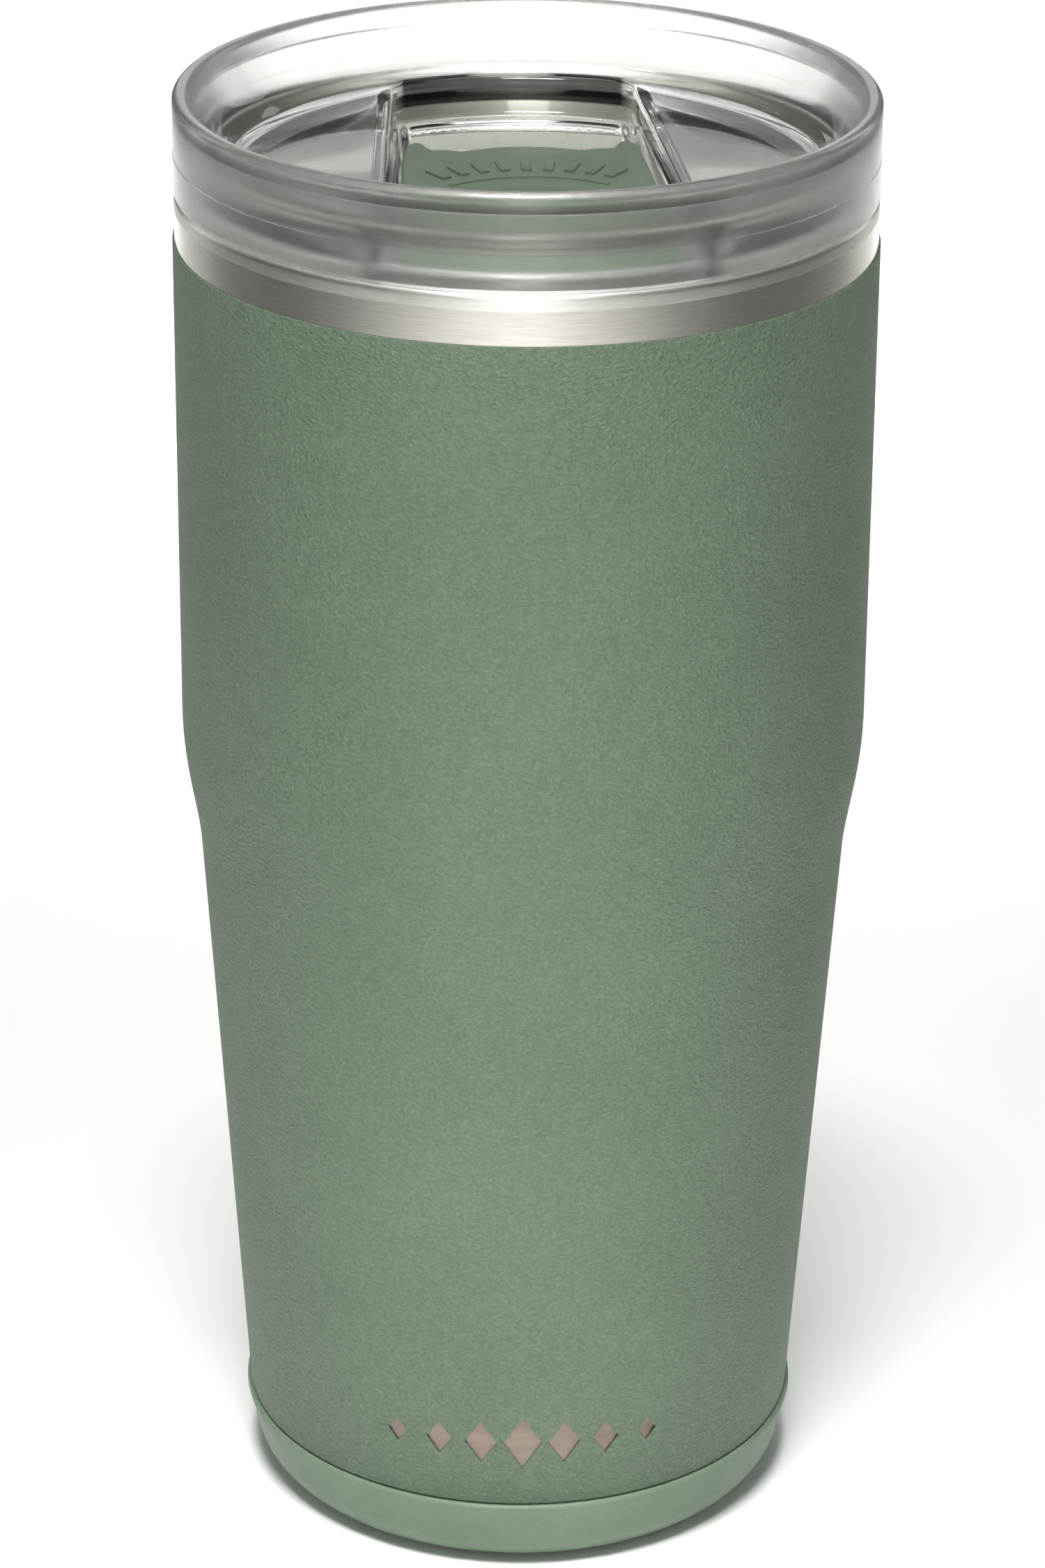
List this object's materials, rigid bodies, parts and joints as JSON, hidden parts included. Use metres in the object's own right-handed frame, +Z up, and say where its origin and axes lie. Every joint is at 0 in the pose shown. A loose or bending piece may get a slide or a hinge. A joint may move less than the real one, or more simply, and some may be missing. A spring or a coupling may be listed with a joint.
{
  "type": "insulated tumbler with lid",
  "caption": "Double-wall vacuum tumbler with a shouldered, tapered body, a soft boot and a clear press-in lid whose closure slides over a drinking slot.",
  "frame": {"origin": "centre of the base, on the plane the tumbler stands on", "axes": "+Z up along the cup's axis, +Y towards the drinking slot, -Y towards the emblem"},
  "size_m": [0.0862, 0.0862, 0.1865],
  "materials": {
    "coat": "fine textured powder coat, sage green, satin",
    "steel": "turned stainless steel, brushed round the cup",
    "liner_steel": "electropolished stainless steel, satin",
    "sealing_glass": "dark fused sealing glass",
    "getter": "dark pressed powder, matte",
    "boot": "moulded silicone, sage green, satin",
    "clear_plastic": "clear copolyester, polished",
    "gasket": "grey translucent silicone, smooth",
    "slider_plastic": "moulded plastic, sage green, satin",
    "seal": "natural silicone, smooth"
  },
  "bodies": {
    "cup": {"powder_coat": "coat", "outer_shell": "steel", "inner_liner": "liner_steel", "base_cap": "steel", "port_seal": "sealing_glass", "getter_pellet": "getter", "getter_clip": "steel", "base_boot": "boot"},
    "lid": {"lid_body": "clear_plastic", "lid_gasket": "gasket"},
    "slider": {"slider_plate": "slider_plastic", "slider_seal": "seal"}
  },
  "joints": [
    {"name": "lid_lift", "type": "slide", "parent": "cup", "child": "lid", "axis": [0, 0, 1], "range_m": [0, 0.08]},
    {"name": "slider_slide", "type": "slide", "parent": "lid", "child": "slider", "axis": [0, 1, 0], "range_m": [0, 0.0177]}
  ]
}
